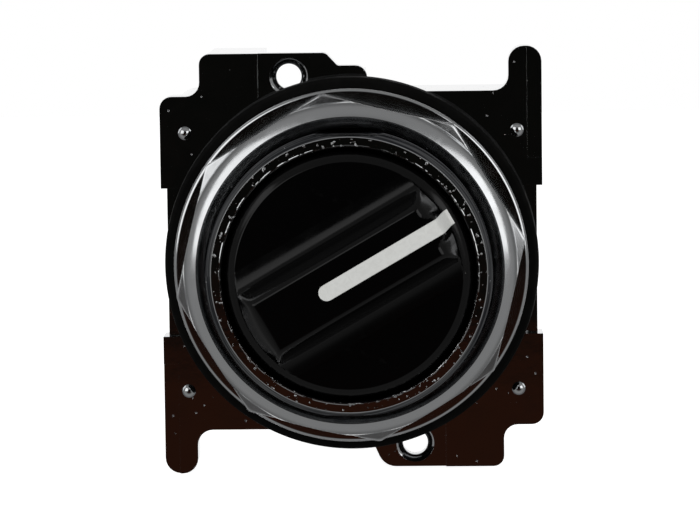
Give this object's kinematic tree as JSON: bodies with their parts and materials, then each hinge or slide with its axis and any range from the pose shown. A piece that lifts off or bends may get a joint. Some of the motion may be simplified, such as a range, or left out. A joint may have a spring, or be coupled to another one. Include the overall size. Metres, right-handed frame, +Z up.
{
  "type": "panel selector switch operator",
  "caption": "Oil-tight rotary selector switch operator for a 30.5 mm panel hole: knob with indicator line, chromed casing, clamping nut, detent, cam and plungers.",
  "frame": {"origin": "where the bushing axis meets the casing's front plane, the plane that bears on the back of the panel", "axes": "-Y points out of the front of the panel along the bushing, +X is right and +Z is up as seen from the front"},
  "size_m": [0.0414, 0.0411, 0.0464],
  "materials": {
    "chromed_casting": "chrome plate over a zinc die casting, faintly pitted",
    "chromed_nut": "bright chrome plate",
    "chromed_washer": "bright chrome plate",
    "gasket_rubber": "matt black moulded rubber",
    "seal_rubber": "black nitrile rubber",
    "black_thermoplastic": "satin black moulding",
    "white_thermoplastic": "satin white moulding",
    "natural_acetal": "natural acetal",
    "black_nylon": "black glass-filled nylon",
    "zinc_steel": "zinc-plated steel",
    "plated_sheet": "zinc-plated sheet with a rolled grain",
    "spring_steel": "bright drawn spring wire and strip",
    "sintered_bronze": "oil-soaked sintered bronze"
  },
  "bodies": {
    "housing": {"casing": "chromed_casting", "spindle_bearing": "sintered_bronze", "detent_springs": "spring_steel", "left_plunger_spring": "spring_steel", "right_plunger_spring": "spring_steel", "plunger_guide": "black_nylon", "rear_plate": "plated_sheet", "rear_plate_screws": "zinc_steel"},
    "rotor": {"knob": "black_thermoplastic", "indicator_line": "white_thermoplastic", "knob_seal": "seal_rubber", "spindle": "zinc_steel", "spindle_o_ring": "seal_rubber", "detent_wheel": "natural_acetal", "cam": "natural_acetal", "cam_washer": "zinc_steel", "spindle_screw": "zinc_steel"},
    "left_plunger": {"left_plunger": "natural_acetal"},
    "right_plunger": {"right_plunger": "natural_acetal"},
    "clamp_stack": {"gasket": "gasket_rubber", "thrust_washer": "chromed_washer"},
    "nut": {"mounting_nut": "chromed_nut"}
  },
  "joints": [
    {"name": "knob_turn", "type": "hinge", "parent": "housing", "child": "rotor", "pos_m": [0, 0, 0], "axis": [0, -1, 0], "range_deg": [0, 120], "deforming": ["detent_springs", "left_plunger_spring", "right_plunger_spring"]},
    {"name": "left_plunger_slide", "type": "slide", "parent": "housing", "child": "left_plunger", "axis": [0, 1, 0], "range_m": [0, 0.003]},
    {"name": "right_plunger_slide", "type": "slide", "parent": "housing", "child": "right_plunger", "axis": [0, -1, 0], "range_m": [0, 0.003]},
    {"name": "panel_clamp", "type": "slide", "parent": "housing", "child": "clamp_stack", "axis": [0, -1, 0], "range_m": [0, 0.006]},
    {"name": "nut_turn", "type": "hinge", "parent": "clamp_stack", "child": "nut", "pos_m": [0, 0, 0], "axis": [0, -1, 0], "range_deg": [0, 1440]}
  ],
  "couplings": [
    {"joint": "left_plunger_slide", "follows": "knob_turn", "m_per_rad": 0.0014323},
    {"joint": "right_plunger_slide", "follows": "knob_turn", "m_per_rad": 0.0014323},
    {"joint": "panel_clamp", "follows": "nut_turn", "m_per_rad": 0.00023873}
  ]
}
